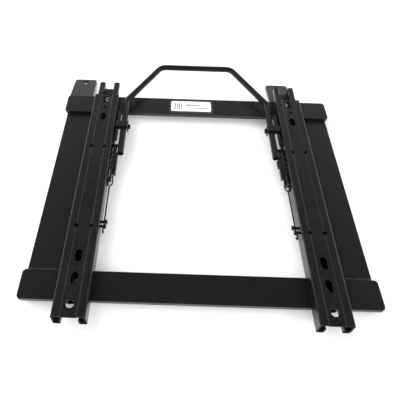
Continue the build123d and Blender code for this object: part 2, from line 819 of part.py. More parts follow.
def pieces():
    """Every separate piece of the bracket, by the name of its node."""
    found = {
        "rear_cross_bar": cross_bar(rear_bar_y, rail_bolt_ys[0]),
        "front_cross_bar": cross_bar(front_bar_y, rail_bolt_ys[1]),
        "side_plate_left": side_plate(left_plate_front_y),
        "side_plate_right": mirror(side_plate(right_plate_front_y), about=Plane.YZ),
        "front_foot_left": front_foot(left_foot_x, left_foot_rear_y),
        "front_foot_right": front_foot(right_foot_x, right_foot_rear_y),
        "weld_beads": weld_beads(),
        "rail_bolts": [rail_bolt(*place) for place in bolt_places()],
        "rail_nuts": [hex_nut(x, y, nut_top) for x, y, nut_top in bolt_places()],
        "label": label(),
        "handle_bar": handle_bar(),
        "release_pins": release_pins(),
        "lever_clip_right": mirror(rail_frame(lever_clip()), about=Plane.YZ),
    }
    paired = {
        "lower_rail": lower_rail,
        "upper_rail": upper_rail,
        "rail_balls": balls,
        "ball_retainers": ball_retainers,
        "lock_lever": lock_lever,
        "lock_hinge_ears": hinge_ears,
        "lock_hinge_pin": hinge_pin,
        "lock_rivets": lock_rivets,
        "lock_spring": lock_spring,
        "spring_studs": spring_studs,
        "handle_bracket": handle_bracket,
        "pivot_pin": pivot_pin,
        "pivot_spacer": pivot_spacer,
    }
    for name, make in paired.items():
        made = make()
        solids = made if isinstance(made, list) else [made]
        left = [rail_frame(solid) for solid in solids]
        found[name + "_left"] = left
        found[name + "_right"] = [mirror(solid, about=Plane.YZ) for solid in left]
    return found


os.makedirs("parts", exist_ok=True)
for name, piece in pieces().items():
    solids = piece if isinstance(piece, list) else [piece]
    shape = Compound(solids) if len(solids) > 1 else solids[0]
    export_step(shape, "parts/" + name + ".step")
    print(name, len(shape.solids()), round(shape.volume))
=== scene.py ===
import json
from math import cos, pi, radians, sin

import bmesh
import bpy
from mathutils import Matrix, Vector


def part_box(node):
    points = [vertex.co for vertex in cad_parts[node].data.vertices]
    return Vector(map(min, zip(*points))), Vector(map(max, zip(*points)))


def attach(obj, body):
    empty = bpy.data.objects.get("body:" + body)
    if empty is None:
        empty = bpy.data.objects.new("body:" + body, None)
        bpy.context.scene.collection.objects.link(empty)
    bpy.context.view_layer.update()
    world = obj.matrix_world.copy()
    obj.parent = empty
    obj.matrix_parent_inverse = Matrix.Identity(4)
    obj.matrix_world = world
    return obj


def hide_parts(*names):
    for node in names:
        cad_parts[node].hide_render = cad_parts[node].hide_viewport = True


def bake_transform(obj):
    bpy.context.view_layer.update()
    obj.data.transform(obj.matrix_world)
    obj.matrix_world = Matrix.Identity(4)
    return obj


mm = 0.001
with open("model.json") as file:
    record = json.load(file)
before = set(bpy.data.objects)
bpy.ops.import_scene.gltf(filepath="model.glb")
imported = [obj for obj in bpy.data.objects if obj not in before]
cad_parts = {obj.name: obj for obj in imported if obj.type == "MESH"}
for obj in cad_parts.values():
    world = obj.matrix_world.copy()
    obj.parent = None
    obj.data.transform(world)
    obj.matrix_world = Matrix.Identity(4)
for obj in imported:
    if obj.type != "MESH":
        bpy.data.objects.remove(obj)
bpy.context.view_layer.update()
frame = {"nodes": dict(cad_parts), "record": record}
nodes = frame["nodes"]
print("frame loaded:", len(nodes), "nodes")


# Shader helpers

def feed(tree, made, values):  # links a socket to each input, or sets a plain value
    for name, value in values.items():
        if isinstance(value, bpy.types.NodeSocket):
            tree.links.new(value, made.inputs[name])
        else:
            made.inputs[name].default_value = value


def addNode(tree, kind, inputs=None, **settings):
    made = tree.nodes.new(kind)
    for name, value in settings.items():
        setattr(made, name, value)
    feed(tree, made, inputs or {})
    return made


def addMath(tree, operation, first, second=0.0, clamp=False):
    made = addNode(tree, "ShaderNodeMath", {0: first, 1: second}, operation=operation, use_clamp=clamp)
    return made.outputs[0]


def scaled(tree, value, factor, offset):  # the value times a factor, plus an offset
    return addMath(tree, "ADD", addMath(tree, "MULTIPLY", value, factor), offset)


def addVectorMath(tree, operation, first, second):
    return addNode(tree, "ShaderNodeVectorMath", {0: first, 1: second}, operation=operation).outputs


def mixColour(tree, factor, first, second):  # colours are sockets, or red, green and blue
    first, second = (value if isinstance(value, bpy.types.NodeSocket) else (*value, 1.0)
                     for value in (first, second))
    return addNode(tree, "ShaderNodeMix", {0: factor, 6: first, 7: second}, data_type="RGBA").outputs[2]


def mapRange(tree, value, fromLow, fromHigh, toLow=0.0, toHigh=1.0):
    span = {"Value": value, "From Min": fromLow, "From Max": fromHigh, "To Min": toLow, "To Max": toHigh}
    return addNode(tree, "ShaderNodeMapRange", span).outputs["Result"]


def noise(tree, place, scale, detail, roughness, distortion=0.0):
    pattern = {"Vector": place, "Scale": scale, "Detail": detail, "Roughness": roughness,
               "Distortion": distortion}
    return addNode(tree, "ShaderNodeTexNoise", pattern).outputs["Fac"]


def objectPlace(tree):
    return addNode(tree, "ShaderNodeTexCoord").outputs["Object"]


def stretchedPlace(tree, stretch):
    return addVectorMath(tree, "MULTIPLY", objectPlace(tree), stretch)["Vector"]


def splitVector(tree, vector):  # its X, Y and Z
    return addNode(tree, "ShaderNodeSeparateXYZ", {0: vector}).outputs


def trueNormal(tree):
    return addNode(tree, "ShaderNodeNewGeometry").outputs["Normal"]


def bumped(tree, strength, distance, height, **normal):
    inputs = {"Strength": strength, "Distance": distance, "Height": height, **normal}
    return addNode(tree, "ShaderNodeBump", inputs).outputs["Normal"]


def newGroup(name, inputs, outputs):  # a shared effect, with its input and output sockets
    group = bpy.data.node_groups.new(name, "ShaderNodeTree")
    for title, kind, value in inputs:
        socket = group.interface.new_socket(title, in_out="INPUT", socket_type="NodeSocket" + kind)
        socket.default_value = value
    for title, kind in outputs:
        group.interface.new_socket(title, in_out="OUTPUT", socket_type="NodeSocket" + kind)
    start = group.nodes.new("NodeGroupInput")
    end = group.nodes.new("NodeGroupOutput")
    return group, start.outputs, end.inputs


def useGroup(tree, group, inputs):
    return addNode(tree, "ShaderNodeGroup", inputs, node_tree=group).outputs


# Shared surface effects: each dictionary's pairs are the values between which a mask rises

grainEffect = {"fine": {"detail": 2.0, "roughness": 0.55}, "cloud": (0.3, 0.7),
               "broad": {"detail": 4.0, "roughness": 0.6, "distortion": 0.4}}
wearEffect = {"samples": 6, "edge": (0.99, 0.82), "broken": (0.42, 0.66),
              "chips": {"scale": 260.0, "detail": 5.0, "roughness": 0.7}}
dustEffect = {"upward": (0.55, 0.95), "speckScale": 240.0, "speck": (0.12, 0.05), "veil": (0.45, 0.85),
              "veilShare": 0.35, "film": {"scale": 60.0, "detail": 6.0, "roughness": 0.7}}
scuffEffect = {"lines": {"scale": 6.0, "detail": 6.0, "roughness": 0.75}, "thin": (0.58, 0.72)}


def coatGrainGroup():  # fine peel of a powder coat, and broad cloudy patches
    group, given, result = newGroup("coatGrain", [("Grain", "Float", 1100.0), ("Patches", "Float", 22.0)],
                                    [("Height", "Float"), ("Cloud", "Float")])
    place = objectPlace(group)
    fine = noise(group, place, given["Grain"], **grainEffect["fine"])
    broad = noise(group, place, given["Patches"], **grainEffect["broad"])
    group.links.new(fine, result["Height"])
    group.links.new(mapRange(group, broad, *grainEffect["cloud"]), result["Cloud"])
    return group


def edgeWearGroup():  # mask along real edges, broken up by noise, and the rounded normal
    group, given, result = newGroup("edgeWear", [("Radius", "Float", 0.0006), ("Amount", "Float", 0.5)],
                                    [("Mask", "Float"), ("Normal", "Vector")])
    rounded = addNode(group, "ShaderNodeBevel", {"Radius": given["Radius"]}, samples=wearEffect["samples"])
    agreement = addVectorMath(group, "DOT_PRODUCT", rounded.outputs[0], trueNormal(group))["Value"]
    edge = mapRange(group, agreement, *wearEffect["edge"])
    broken = mapRange(group, noise(group, objectPlace(group), **wearEffect["chips"]), *wearEffect["broken"])
    mask = addMath(group, "MULTIPLY", edge, broken, True)
    group.links.new(addMath(group, "MULTIPLY", mask, given["Amount"]), result["Mask"])
    group.links.new(rounded.outputs[0], result["Normal"])
    return group


def dustGroup():  # pale specks and a thin veil on faces that look up
    group, given, result = newGroup("settledDust", [("Amount", "Float", 0.2)], [("Mask", "Float")])
    place = objectPlace(group)
    upward = mapRange(group, splitVector(group, trueNormal(group))["Z"], *dustEffect["upward"])
    specks = addNode(group, "ShaderNodeTexVoronoi", {"Vector": place, "Scale": dustEffect["speckScale"]})
    small = mapRange(group, specks.outputs["Distance"], *dustEffect["speck"])
    film = noise(group, place, **dustEffect["film"])
    veil = mapRange(group, film, *dustEffect["veil"], 0.0, dustEffect["veilShare"])
    settled = addMath(group, "MULTIPLY", addMath(group, "MAXIMUM", small, veil), upward)
    group.links.new(addMath(group, "MULTIPLY", settled, given["Amount"], True), result["Mask"])
    return group


def scuffGroup():  # long faint rubs, drawn out along one direction
    group, given, result = newGroup(
        "scuffs", [("Stretch", "Vector", (90.0, 4.0, 90.0)), ("Amount", "Float", 0.3)], [("Mask", "Float")])
    lines = noise(group, stretchedPlace(group, given["Stretch"]), **scuffEffect["lines"])
    thin = mapRange(group, lines, *scuffEffect["thin"])
    group.links.new(addMath(group, "MULTIPLY", thin, given["Amount"], True), result["Mask"])
    return group


coatGrain = coatGrainGroup()
edgeWear = edgeWearGroup()
settledDust = dustGroup()
scuffs = scuffGroup()
print("shared effects made")


# Materials

def newMaterial(name):
    material = bpy.data.materials.new(name)
    material.use_nodes = True
    tree = material.node_tree
    return material, tree, tree.nodes["Principled BSDF"]


# Black coat over steel: peel, clouds, worn edges, rubs and dust. Faces that face along Y, such as the rails'
# cut ends, get painted shade: a near-black colour, and more roughness.

coating = {"dust": (0.35, 0.34, 0.32), "dustRough": 0.5, "rubRough": -0.12, "peel": 0.00012,
           "paintedEndShade": (0.0015, 0.0015, 0.0015), "alongYRough": 0.5, "alongYFacing": 0.9}
coatLooks = {
    "frameCoat": {"grain": 1300.0, "patches": 16.0, "edge": 0.0007, "wear": 0.28, "dust": 0.02,
                  "rubAlong": (60.0, 3.0, 60.0), "rubs": 0.10, "rubColour": (0.012, 0.0128, 0.0125),
                  "dark": (0.0056, 0.0061, 0.0059), "light": (0.0068, 0.0074, 0.0071),
                  "bare": (0.09, 0.095, 0.09), "rough": 0.28, "roughSpread": 0.06, "bump": 0.22,
                  "ior": 1.5, "ends": 0.0},
    "railCoat": {"grain": 1500.0, "patches": 24.0, "edge": 0.0006, "wear": 0.35, "dust": 0.03,
                 "rubAlong": (120.0, 2.5, 120.0), "rubs": 0.22, "rubColour": (0.016, 0.0168, 0.0164),
                 "dark": (0.0062, 0.0067, 0.0065), "light": (0.0084, 0.0090, 0.0088),
                 "bare": (0.13, 0.13, 0.125), "rough": 0.22, "roughSpread": 0.08, "bump": 0.18,
                 "ior": 1.45, "ends": 1.0},
    # painted highlight: the beads wear the frame's black coat, coloured several times lighter to stand in for
    # the shine along their crests
    "weldCoatPaintedLighter": {"grain": 900.0, "patches": 140.0, "edge": 0.0005, "wear": 0.5, "dust": 0.05,
                 "rubAlong": (40.0, 40.0, 40.0), "rubs": 0.3, "rubColour": (0.05, 0.05, 0.048),
                 "dark": (0.016, 0.017, 0.0165), "light": (0.034, 0.035, 0.034),
                 "bare": (0.16, 0.16, 0.155), "rough": 0.24, "roughSpread": 0.10, "bump": 0.35,
                 "ior": 1.5, "ends": 0.0},
    "handleCoat": {"grain": 1400.0, "patches": 30.0, "edge": 0.0004, "wear": 0.25, "dust": 0.03,
                   "rubAlong": (20.0, 20.0, 60.0), "rubs": 0.12, "rubColour": (0.014, 0.014, 0.014),
                   "dark": (0.0046, 0.0049, 0.0049), "light": (0.0064, 0.0067, 0.0067),
                   "bare": (0.08, 0.08, 0.08), "rough": 0.28, "roughSpread": 0.06, "bump": 0.14,
                   "ior": 1.4, "ends": 0.3},
    "lockSteel": {"grain": 1700.0, "patches": 60.0, "edge": 0.0003, "wear": 0.55, "dust": 0.03,
                  "rubAlong": (70.0, 10.0, 70.0), "rubs": 0.25, "rubColour": (0.018, 0.018, 0.0175),
                  "dark": (0.0040, 0.0042, 0.0042), "light": (0.0074, 0.0077, 0.0076),
                  "bare": (0.20, 0.20, 0.19), "rough": 0.20, "roughSpread": 0.10, "bump": 0.25,
                  "ior": 1.5, "ends": 0.3},
}


def coatedSteel(name):
    look = coatLooks[name]
    material, tree, shader = newMaterial(name)
    grain = useGroup(tree, coatGrain, {"Grain": look["grain"], "Patches": look["patches"]})
    wear = useGroup(tree, edgeWear, {"Radius": look["edge"], "Amount": look["wear"]})
    dust = useGroup(tree, settledDust, {"Amount": look["dust"]})
    rubs = useGroup(tree, scuffs, {"Stretch": look["rubAlong"], "Amount": look["rubs"]})
    coat = mixColour(tree, grain["Cloud"], look["dark"], look["light"])
    rubbed = mixColour(tree, rubs["Mask"], coat, look["rubColour"])
    worn = mixColour(tree, wear["Mask"], rubbed, look["bare"])
    dusty = mixColour(tree, dust["Mask"], worn, coating["dust"])
    # painted shade: faces turned along Y are coloured near black, by each look's share, in place of their
    # reflection
    facing = addMath(tree, "ABSOLUTE", splitVector(tree, trueNormal(tree))["Y"])
    paintedEndShade = addMath(tree, "GREATER_THAN", facing, coating["alongYFacing"])
    endShadeMask = addMath(tree, "MULTIPLY", paintedEndShade, look["ends"])
    rough = scaled(tree, grain["Cloud"], look["roughSpread"], look["rough"])
    for mask, change in ((endShadeMask, coating["alongYRough"]), (rubs["Mask"], coating["rubRough"]),
                         (dust["Mask"], coating["dustRough"])):
        rough = addMath(tree, "ADD", rough, addMath(tree, "MULTIPLY", mask, change))
    normal = bumped(tree, look["bump"], coating["peel"], grain["Height"], Normal=wear["Normal"])
    feed(tree, shader, {"Base Color": mixColour(tree, endShadeMask, dusty, coating["paintedEndShade"]), "Roughness": rough,
                        "Normal": normal, "IOR": look["ior"]})
    return material


# Bare or plated metal, with tool marks and patches

metalwork = {"tool": {"scale": 8.0, "detail": 5.0, "roughness": 0.7}, "grain": 2200.0, "relief": 0.00008}
metalLooks = {
    "boltSteel": {"marks": (220.0, 220.0, 900.0), "patches": 90.0, "edge": 0.0009, "wear": 1.6,
                  "dark": (0.42, 0.42, 0.41), "light": (0.60, 0.60, 0.59), "bare": (0.95, 0.95, 0.94),
                  "rough": 0.10, "roughSpread": 0.10, "bump": 0.1, "metal": 0.9},
    "pinSteel": {"marks": (1400.0, 200.0, 200.0), "patches": 120.0, "edge": 0.0002, "wear": 0.5,
                 "dark": (0.016, 0.016, 0.016), "light": (0.045, 0.045, 0.044),
                 "bare": (0.20, 0.20, 0.195), "rough": 0.30, "roughSpread": 0.2, "bump": 0.25, "metal": 1.0},
    "ballSteel": {"marks": (300.0, 300.0, 300.0), "patches": 200.0, "edge": 0.0001, "wear": 0.0,
                  "dark": (0.50, 0.50, 0.49), "light": (0.62, 0.62, 0.61), "bare": (0.7, 0.7, 0.7),
                  "rough": 0.08, "roughSpread": 0.12, "bump": 0.03, "metal": 1.0},
    "retainerSteel": {"marks": (900.0, 120.0, 900.0), "patches": 90.0, "edge": 0.0002, "wear": 0.4,
                      "dark": (0.24, 0.235, 0.22), "light": (0.36, 0.355, 0.34),
                      "bare": (0.5, 0.5, 0.48), "rough": 0.30, "roughSpread": 0.2, "bump": 0.2, "metal": 1.0},
    "springSteel": {"marks": (900.0, 60.0, 900.0), "patches": 80.0, "edge": 0.0002, "wear": 0.2,
                    "dark": (0.012, 0.012, 0.012), "light": (0.030, 0.030, 0.029),
                    "bare": (0.12, 0.12, 0.12), "rough": 0.34, "roughSpread": 0.2, "bump": 0.15,
                    "metal": 1.0},
}


def plainMetal(name):
    look = metalLooks[name]
    material, tree, shader = newMaterial(name)
    marks = noise(tree, stretchedPlace(tree, look["marks"]), **metalwork["tool"])
    grain = useGroup(tree, coatGrain, {"Grain": metalwork["grain"], "Patches": look["patches"]})
    wear = useGroup(tree, edgeWear, {"Radius": look["edge"], "Amount": look["wear"]})
    tone = mixColour(tree, grain["Cloud"], look["dark"], look["light"])
    rough = scaled(tree, marks, look["roughSpread"], look["rough"])
    normal = bumped(tree, look["bump"], metalwork["relief"], marks, Normal=wear["Normal"])
    feed(tree, shader, {"Base Color": mixColour(tree, wear["Mask"], tone, look["bare"]), "Roughness": rough,
                        "Normal": normal, "Metallic": look["metal"]})
    return material


clip = {"grain": 2600.0, "patches": 70.0, "edge": 0.0003, "wear": 0.2, "dark": (0.006, 0.006, 0.006),
        "light": (0.010, 0.010, 0.010), "bare": (0.03, 0.03, 0.03), "rough": 0.42, "roughSpread": 0.12,
        "bump": 0.2, "relief": 0.0001}


def clipPlastic():
    material, tree, shader = newMaterial("clipPlastic")
    grain = useGroup(tree, coatGrain, {"Grain": clip["grain"], "Patches": clip["patches"]})
    wear = useGroup(tree, edgeWear, {"Radius": clip["edge"], "Amount": clip["wear"]})
    tone = mixColour(tree, grain["Cloud"], clip["dark"], clip["light"])
    rough = scaled(tree, grain["Cloud"], clip["roughSpread"], clip["rough"])
    normal = bumped(tree, clip["bump"], clip["relief"], grain["Height"], Normal=wear["Normal"])
    feed(tree, shader, {"Base Color": mixColour(tree, wear["Mask"], tone, clip["bare"]), "Roughness": rough,
                        "Normal": normal})
    return material


finishes = {
    "frame_coat": coatedSteel("frameCoat"), "rail_coat": coatedSteel("railCoat"),
    "handle_coat": coatedSteel("handleCoat"), "lock_steel": coatedSteel("lockSteel"),
    "bolt_steel": plainMetal("boltSteel"), "pin_steel": plainMetal("pinSteel"),
    "ball_steel": plainMetal("ballSteel"), "spring_wire": plainMetal("springSteel"),
    "retainer_steel": plainMetal("retainerSteel"), "clip_plastic": clipPlastic(),
}
for part in frame["record"]["subparts"]:
    finish = finishes.get(part["material_slot"])
    if finish:
        mesh = nodes[part["node"]].data
        mesh.materials.clear()
        mesh.materials.append(finish)
print("materials made:", len(finishes))


# Mesh helpers

def meshPiece(name, build, material, body):  # a piece from bmesh work, riding on a body
    work = bmesh.new()
    build(work)
    bmesh.ops.recalc_face_normals(work, faces=work.faces)
    mesh = bpy.data.meshes.new(name)
    work.to_mesh(mesh)
    work.free()
    piece = bpy.data.objects.new(name, mesh)
    bpy.context.scene.collection.objects.link(piece)
    mesh.materials.append(material)
    if body:
        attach(piece, body)
    return piece


def shadeSmooth(piece, angle=40.0):
    piece.data.shade_smooth()
    piece.data.set_sharp_from_angle(angle=radians(angle))


def bridge(work, rings):  # quads between neighbouring closed rings of vertices
    for first, second in zip(rings, rings[1:]):
        for index in range(len(first)):
            following = (index + 1) % len(first)
            work.faces.new((first[index], first[following], second[following], second[index]))


def cappedRings(work, rings):
    bridge(work, rings)
    work.faces.new(rings[0])
    work.faces.new(rings[-1])


joinDistance = 0.00001


def solidBoxes(node):  # the boxes of the separate solids in a CAD node, from left to right
    work = bmesh.new()
    work.from_mesh(nodes[node].data)
    bmesh.ops.remove_doubles(work, verts=work.verts, dist=joinDistance)
    left = set(work.verts)
    boxes = []
    while left:
        group, fresh = set(), [left.pop()]
        while fresh:
            vertex = fresh.pop()
            group.add(vertex)
            for edge in vertex.link_edges:
                other = edge.other_vert(vertex)
                if other in left:
                    left.discard(other)
                    fresh.append(other)
        points = [vertex.co.copy() for vertex in group]
        boxes.append((Vector(min(point[axis] for point in points) for axis in range(3)),
                      Vector(max(point[axis] for point in points) for axis in range(3))))
    work.free()
    return sorted(boxes, key=lambda box: tuple(box[0]))


# Weld beads, with the ripples that a moving torch leaves. Reach and rise make the beads on top of the
# plates larger than the plain fillets of the CAD. Ripple, lean and slack are in mm.

bead = {"ripple": 2.6, "stations": 10, "arc": 9, "reach": 1.5, "rise": 1.95, "depth": 1.1, "wander": 0.12,
        "waves": 23.0, "scatter": 90.0, "endSize": 0.55, "taper": 6.0, "crown": 0.80, "bulge": 0.12,
        "lean": 0.18, "slack": 0.1}


def beadRings(work, low, high, below):  # one bead between two corners of its box
    leg = (high.y - low.y) * (1.0 if below else bead["reach"])
    height = (low.z - high.z) if below else (high.z - low.z) * bead["rise"]
    root = high.z if below else low.z
    length = high.x - low.x
    count = int(length / mm / bead["ripple"]) * bead["stations"]
    rings = []
    for station in range(count + 1):
        along = station / count
        x = low.x + along * length
        phase = (station / bead["stations"]) % 1.0 - 0.5
        ripple = 1.0 - bead["depth"] * phase ** 2
        wave = sin(along * bead["waves"] + low.x * bead["scatter"])
        wander = 1.0 - bead["wander"] * (0.5 + 0.5 * wave)
        taper = min(1.0, bead["taper"] * min(along, 1.0 - along) + bead["endSize"])
        size = min(1.0, ripple * wander) * taper
        ring = [work.verts.new((x, low.y, root))]
        for step in range(bead["arc"]):
            angle = 0.5 * pi * step / (bead["arc"] - 1)
            crown = size * (bead["crown"] + bead["bulge"] * sin(2.0 * angle))
            shift = bead["lean"] * mm * cos(2.0 * angle) * phase
            ring.append(work.verts.new((min(high.x, max(low.x, x + shift)), low.y + leg * crown * cos(angle),
                                        root + height * crown * sin(angle))))
        rings.append(ring)
    cappedRings(work, rings)


def buildBeads(work):
    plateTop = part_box("rear_cross_bar")[0].z
    for low, high in solidBoxes("weld_beads"):
        beadRings(work, low, high, high.z < plateTop + bead["slack"] * mm)


# the beads' lighter coat is a painted highlight
beads = meshPiece("weldBeads", buildBeads, coatedSteel("weldCoatPaintedLighter"), "floor_frame")
shadeSmooth(beads)
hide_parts("weld_beads")
print("weld beads made")


# Rail bolts, with domed heads, broached sockets and rolled threads, and their chamfered nuts, in mm

bolt = {"segments": 48, "shank": 4.0, "head": 7.0, "headHeight": 4.5, "headChamfer": 0.2, "rim": 2.25,
        "rimSteps": 9, "acrossHalf": 2.5, "socketDepth": 2.4, "socketCone": 0.1, "socketLead": 0.5,
        "mouth": 0.15, "mouthDepth": 0.05, "mouthChamfer": 0.2, "tip": 0.05, "plain": 3.0, "pitch": 1.25,
        "cut": 0.62, "perTurn": 8, "lead": 0.9, "sharpAngle": 32.0}
nut = {"acrossHalf": 6.5, "chamfer": 1.1, "chamferSteps": (0.0, 0.15, 0.3, 0.5), "slope": 1.73,
       "face": 6.6, "bore": 3.96, "boreLead": 0.5}


def hexagon(angle, half):  # distance to a hexagon's side, with a corner on the X axis
    return half / cos(angle % (pi / 3) - pi / 6)


def turned(work, centre, rows):  # rings round an upright axis, from rows of height and radius
    rings = []
    for height, radius in rows:
        ring = []
        for turn in range(bolt["segments"]):
            angle = 2 * pi * turn / bolt["segments"]
            size = (radius(angle) if callable(radius) else radius) * mm
            ring.append(work.verts.new((centre.x + size * cos(angle), centre.y + size * sin(angle),
                                        height * mm)))
        rings.append(ring)
    return rings


def threadRadius(height, top, low):  # radius of a screw thread at a height, as a function of the angle
    start = min(1.0, max(0.0, (top - height) / (2 * bolt["pitch"])))
    tip = max(0.0, bolt["lead"] - (height - low))

    def radius(angle):
        turns = (height / bolt["pitch"] - angle / (2 * pi)) % 1.0
        groove = 1.0 - abs(2.0 * turns - 1.0)
        return bolt["shank"] - max(start * bolt["cut"] * groove, tip)
    return radius


def socketSide(angle):
    return hexagon(angle, bolt["acrossHalf"])


def boltRows(top, end):
    seat = top - bolt["headHeight"]
    mouth = socketSide(0.0) + bolt["mouth"]
    floor = top - bolt["socketDepth"]
    rows = [(floor - bolt["socketCone"], bolt["tip"]), (floor, socketSide),
            (top - bolt["socketLead"], socketSide), (top - bolt["mouthDepth"], mouth),
            (top, mouth + bolt["mouthChamfer"])]
    for step in range(bolt["rimSteps"] + 1):
        angle = 0.5 * pi * step / bolt["rimSteps"]
        rows.append((top - bolt["rim"] * (1 - cos(angle)), bolt["head"] - bolt["rim"] * (1 - sin(angle))))
    start = seat - bolt["plain"]
    rows += [(seat + bolt["headChamfer"], bolt["head"]), (seat, bolt["head"] - bolt["headChamfer"]),
             (seat, bolt["shank"]), (start, bolt["shank"])]
    count = int((start - end) / bolt["pitch"] * bolt["perTurn"])
    for index in range(1, count + 1):
        height = start + (end - start) * index / count
        rows.append((height, threadRadius(height, start, end)))
    return rows


def buildBolts(work):
    for low, high in solidBoxes("rail_bolts"):
        cappedRings(work, turned(work, 0.5 * (low + high), boltRows(high.z / mm, low.z / mm)))


def nutSide(depth):  # a hexagon whose corners are turned off towards each face
    return lambda angle: min(hexagon(angle, nut["acrossHalf"]), nut["face"] + depth * nut["slope"])


def buildNuts(work):
    depths = (*nut["chamferSteps"], nut["chamfer"])
    mouth = nut["bore"] + nut["boreLead"]
    for low, high in solidBoxes("rail_nuts"):
        bottom, top = low.z / mm, high.z / mm
        rows = [(top - nut["boreLead"], nut["bore"]), (top, mouth)]
        rows += [(top - depth, nutSide(depth)) for depth in depths]
        rows += [(bottom + depth, nutSide(depth)) for depth in reversed(depths)]
        rows += [(bottom, mouth), (bottom + nut["boreLead"], nut["bore"])]
        rings = turned(work, 0.5 * (low + high), rows)
        bridge(work, [*rings, rings[0]])


bolts = meshPiece("railBolts", buildBolts, finishes["bolt_steel"], "floor_frame")
shadeSmooth(bolts, bolt["sharpAngle"])
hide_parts("rail_bolts")
nuts = meshPiece("railNuts", buildNuts, finishes["bolt_steel"], "floor_frame")
shadeSmooth(nuts, bolt["sharpAngle"])
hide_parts("rail_nuts")
print("bolts and nuts made")


# Lock springs: a bent wire from an eye behind the rear stud to the lever's arm, in mm and degrees.
# Half is the CAD wire's radius. Inset from the stud, gaps from the rail's wall.

wire = {"radius": 0.98, "sides": 14, "half": 1.0, "eyeRadius": 2.9, "eyeTurn": 300.0, "eyeSteps": 24,
        "studInset": 1.0, "straightGap": 4.1, "tipGap": 7.2, "hookLead": 3.0, "hookLength": 14.0,
        "hookSlope": 4.0, "bend": 2.5, "bendSteps": 7}
corner = {"leastSlope": 0.05, "mostShare": 0.45, "straight": 1.57}


def roundCorners(points, radius, steps):  # a polyline with its corners rounded
    path = [points[0]]
    for before, middle, after in zip(points, points[1:], points[2:]):
        inward = (before - middle).normalized()
        outward = (after - middle).normalized()
        half = 0.5 * inward.angle(outward)
        slope = max(corner["leastSlope"], abs(cos(half) / sin(half)))
        reach = radius / slope if half < corner["straight"] else 0.0
        reach = min(reach, *(corner["mostShare"] * (point - middle).length for point in (before, after)))
        start, end = middle + inward * reach, middle + outward * reach
        for step in range(steps + 1):
            share = step / steps
            path.append(start * (1 - share) ** 2 + middle * 2 * share * (1 - share) + end * share ** 2)
    path.append(points[-1])
    return path


def tube(work, path, radius, sides):  # a closed tube along a path, with a frame carried along it
    side = Vector((0, 0, 1))
    rings = []
    for index, point in enumerate(path):
        ahead = path[min(index + 1, len(path) - 1)] - path[max(index - 1, 0)]
        ahead.normalize()
        side = (side - ahead * side.dot(ahead)).normalized()
        across = ahead.cross(side)
        angles = [2 * pi * turn / sides for turn in range(sides)]
        rings.append([work.verts.new(point + radius * (side * cos(angle) + across * sin(angle)))
                      for angle in angles])
    cappedRings(work, rings)


def springPath(side):  # drawn on the left, where side is -1, and mirrored for the right
    low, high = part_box("lock_spring_left")
    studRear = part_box("spring_studs_left")[0].y
    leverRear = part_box("lock_lever_left")[0].y
    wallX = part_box("upper_rail_left")[1].x
    half = wire["half"] * mm
    straight = wallX + wire["straightGap"] * mm
    height = low.z + half
    out = high.x - half
    tipX, tipZ = wallX + wire["tipGap"] * mm, high.z - half
    hookFront = leverRear - wire["hookLead"] * mm
    hookRear = hookFront - wire["hookLength"] * mm
    slope = wire["hookSlope"] * mm
    bends = ((straight, studRear + wire["studInset"] * mm, height), (straight, hookRear, height),
             (out, hookRear + slope, height), (out, hookFront - slope, height),
             (tipX, hookFront, tipZ), (tipX, high.y, tipZ))
    path = roundCorners([Vector(bend) for bend in bends], wire["bend"] * mm, wire["bendSteps"])
    eyeRadius = wire["eyeRadius"] * mm
    eye = Vector((straight, low.y + half + eyeRadius, height))
    loop = []
    for step in range(wire["eyeSteps"]):
        angle = radians(wire["eyeTurn"]) * (1 - step / wire["eyeSteps"])
        loop.append(eye + eyeRadius * Vector((0.0, cos(angle), sin(angle))))
    return [Vector((-side * point.x, point.y, point.z)) for point in loop + path]


for side, name in ((-1, "left"), (1, "right")):
    spring = meshPiece("lockSpring_" + name,
                       lambda work: tube(work, springPath(side), wire["radius"] * mm, wire["sides"]),
                       finishes["spring_wire"], None)
    shadeSmooth(spring)
    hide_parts("lock_spring_" + name)
    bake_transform(spring)
print("springs made")


# Label: a clear film over the bar, with a pale printed field on it, in mm. Each mark is the height of
# its middle, its own height, its start and its end, as shares of the field: blocks, a rule and bars.

label = {"fieldLeft": 2.8, "fieldRight": 3.4, "fieldNear": 5.0, "fieldFar": 3.4, "fieldRadius": 3.4,
         "filmRadius": 4.0, "film": 0.16, "field": 0.24, "cornerSteps": 8}
labelMarks = [(0.61, 0.18, start, start + 0.036) for start in (0.38, 0.43, 0.48, 0.53, 0.58, 0.63, 0.68)]
labelMarks += [(0.34, 0.08, 0.40, 0.92)]
labelMarks += [(0.50, 0.56, start, start + 0.026) for start in (0.09, 0.14, 0.19, 0.24)]
filmLook = {"grain": 500.0, "patches": 40.0, "dark": (0.030, 0.031, 0.031), "light": (0.044, 0.045, 0.045),
            "rough": 0.2, "roughSpread": 0.08, "bump": 0.05, "relief": 0.0001}
fieldLook = {"grain": 900.0, "patches": 30.0, "dark": (0.80, 0.81, 0.81), "light": (0.90, 0.90, 0.90),
             "ink": (0.07, 0.072, 0.072), "inkShare": 0.9, "rough": 0.3, "roughSpread": 0.1}


def roundedPlate(work, low, high, radius, bottom, top):  # an upright plate with rounded corners
    corners = ((high.x - radius, high.y - radius), (low.x + radius, high.y - radius),
               (low.x + radius, low.y + radius), (high.x - radius, low.y + radius))
    outline = []
    for turn, (x, y) in enumerate(corners):
        for step in range(label["cornerSteps"] + 1):
            angle = 0.5 * pi * (turn + step / label["cornerSteps"])
            outline.append((x + radius * cos(angle), y + radius * sin(angle)))
    cappedRings(work, [[work.verts.new((x, y, z)) for x, y in outline] for z in (bottom, top)])


def grainedTone(tree, look):  # the clouded colour, the roughness and the grain's height
    grain = useGroup(tree, coatGrain, {"Grain": look["grain"], "Patches": look["patches"]})
    tone = mixColour(tree, grain["Cloud"], look["dark"], look["light"])
    rough = scaled(tree, grain["Cloud"], look["roughSpread"], look["rough"])
    return tone, rough, grain["Height"]


